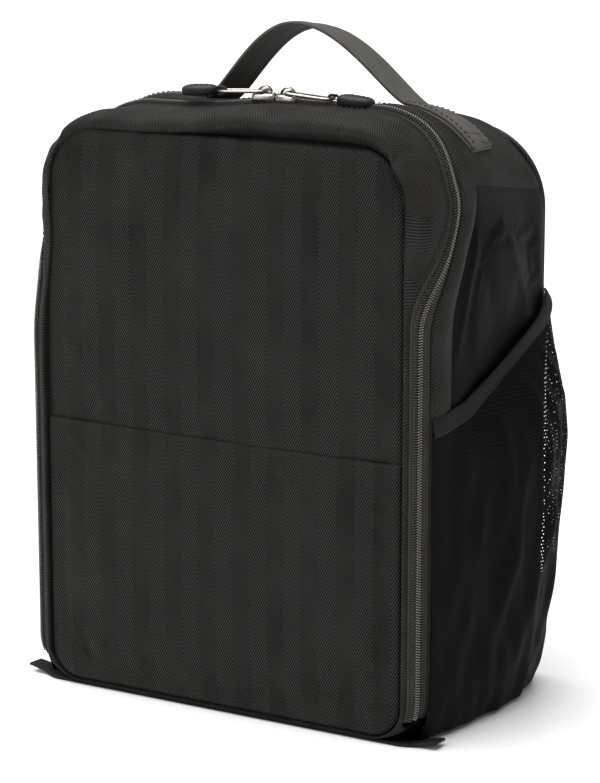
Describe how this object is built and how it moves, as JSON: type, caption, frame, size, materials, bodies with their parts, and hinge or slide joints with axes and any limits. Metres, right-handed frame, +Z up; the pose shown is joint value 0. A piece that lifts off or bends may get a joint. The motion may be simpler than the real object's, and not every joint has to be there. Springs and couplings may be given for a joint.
{
  "type": "padded carrying case",
  "caption": "Soft-sided padded case for a drone or camera kit, with a zip-round front lid that folds down, a carry handle, mesh side pockets and movable dividers.",
  "frame": {"origin": "on the ground under the middle of the case", "axes": "+Z up, -Y towards the front panel, +X to the right as seen from the front"},
  "size_m": [0.2728, 0.143, 0.3575],
  "materials": {
    "shell_fabric": "near-black plain woven nylon, matt",
    "twill_fabric": "charcoal herringbone twill, slight sheen",
    "foam_board": "closed-cell foam board",
    "loop_lining": "brushed grey loop lining",
    "webbing": "woven webbing and binding tape",
    "zip_coil": "grey nylon zip coil",
    "nickel": "bright nickel plate",
    "grip_rubber": "moulded black rubber",
    "pocket_mesh": "black knitted mesh"
  },
  "bodies": {
    "case": {"side_panel_right": "shell_fabric", "side_panel_left": "shell_fabric", "top_panel": "shell_fabric", "bottom_panel": "shell_fabric", "back_panel": "shell_fabric", "side_foam_right": "foam_board", "side_foam_left": "foam_board", "top_foam": "foam_board", "bottom_foam": "foam_board", "back_foam": "foam_board", "side_lining_right": "loop_lining", "side_lining_left": "loop_lining", "top_lining": "loop_lining", "bottom_lining": "loop_lining", "back_lining": "loop_lining", "hinge_strip": "webbing", "zip_tape_case": "webbing", "zip_coil_case": "zip_coil", "handle_patch_right": "webbing", "handle_patch_left": "webbing", "divider_tall_right": "loop_lining", "divider_tall_left": "loop_lining"},
    "lid": {"front_panel_upper": "twill_fabric", "front_pocket_panel": "twill_fabric", "front_pocket_back": "loop_lining", "lid_border": "twill_fabric", "lid_foam": "foam_board", "lid_lining": "loop_lining", "zip_tape_lid": "webbing", "zip_coil_lid": "zip_coil"},
    "slider_right": {"zip_slider_right": "nickel"},
    "pull_right": {"zip_pull_right": "nickel"},
    "grip_right": {"pull_cord_right": "webbing", "pull_grip_right": "grip_rubber"},
    "slider_left": {"zip_slider_left": "nickel"},
    "pull_left": {"zip_pull_left": "nickel"},
    "grip_left": {"pull_cord_left": "webbing", "pull_grip_left": "grip_rubber"},
    "handle": {"handle_strap": "webbing"},
    "pocket_right": {"side_pocket_right": "pocket_mesh", "pocket_binding_right": "webbing"},
    "divider_lower_right": {"divider_short_lower_right": "loop_lining"},
    "divider_upper_right": {"divider_short_upper_right": "loop_lining"},
    "pocket_left": {"side_pocket_left": "pocket_mesh", "pocket_binding_left": "webbing"},
    "divider_lower_left": {"divider_short_lower_left": "loop_lining"},
    "divider_upper_left": {"divider_short_upper_left": "loop_lining"}
  },
  "joints": [
    {"name": "lid_hinge", "type": "hinge", "parent": "case", "child": "lid", "pos_m": [0, -0.07, 0.00165], "axis": [1, 0, 0], "range_deg": [0, 90]},
    {"name": "zip_slide_right", "type": "slide", "parent": "case", "child": "slider_right", "axis": [1, 0, 0], "range_m": [0, 0.045]},
    {"name": "pull_swing_right", "type": "hinge", "parent": "slider_right", "child": "pull_right", "pos_m": [0.0153, -0.0255, 0.3252], "axis": [0, -1, 0], "range_deg": [0, 120]},
    {"name": "grip_swing_right", "type": "hinge", "parent": "pull_right", "child": "grip_right", "pos_m": [0.0413, -0.0255, 0.3252], "axis": [0, -1, 0], "range_deg": [0, 80]},
    {"name": "zip_slide_left", "type": "slide", "parent": "case", "child": "slider_left", "axis": [-1, 0, 0], "range_m": [0, 0.045]},
    {"name": "pull_swing_left", "type": "hinge", "parent": "slider_left", "child": "pull_left", "pos_m": [0.0017, -0.0255, 0.3252], "axis": [0, 1, 0], "range_deg": [0, 120]},
    {"name": "grip_swing_left", "type": "hinge", "parent": "pull_left", "child": "grip_left", "pos_m": [-0.0243, -0.0255, 0.3252], "axis": [0, 1, 0], "range_deg": [0, 80]},
    {"name": "handle_lean", "type": "hinge", "parent": "case", "child": "handle", "pos_m": [0, 0.01, 0.3335], "axis": [1, 0, 0], "range_deg": [-60, 60], "stiffness_Nm_per_rad": 0.03},
    {"name": "pocket_open_right", "type": "hinge", "parent": "case", "child": "pocket_right", "pos_m": [0.1165, 0.0025, 0.0115], "axis": [0, 1, 0], "range_deg": [0, 8], "stiffness_Nm_per_rad": 0.8},
    {"name": "divider_lower_slide_right", "type": "slide", "parent": "case", "child": "divider_lower_right", "axis": [0, 0, 1], "range_m": [-0.02, 0.02]},
    {"name": "divider_upper_slide_right", "type": "slide", "parent": "case", "child": "divider_upper_right", "axis": [0, 0, 1], "range_m": [-0.02, 0.02]},
    {"name": "pocket_open_left", "type": "hinge", "parent": "case", "child": "pocket_left", "pos_m": [-0.1165, 0.0025, 0.0115], "axis": [0, -1, 0], "range_deg": [0, 8], "stiffness_Nm_per_rad": 0.8},
    {"name": "divider_lower_slide_left", "type": "slide", "parent": "case", "child": "divider_lower_left", "axis": [0, 0, 1], "range_m": [-0.02, 0.02]},
    {"name": "divider_upper_slide_left", "type": "slide", "parent": "case", "child": "divider_upper_left", "axis": [0, 0, 1], "range_m": [-0.02, 0.02]}
  ]
}
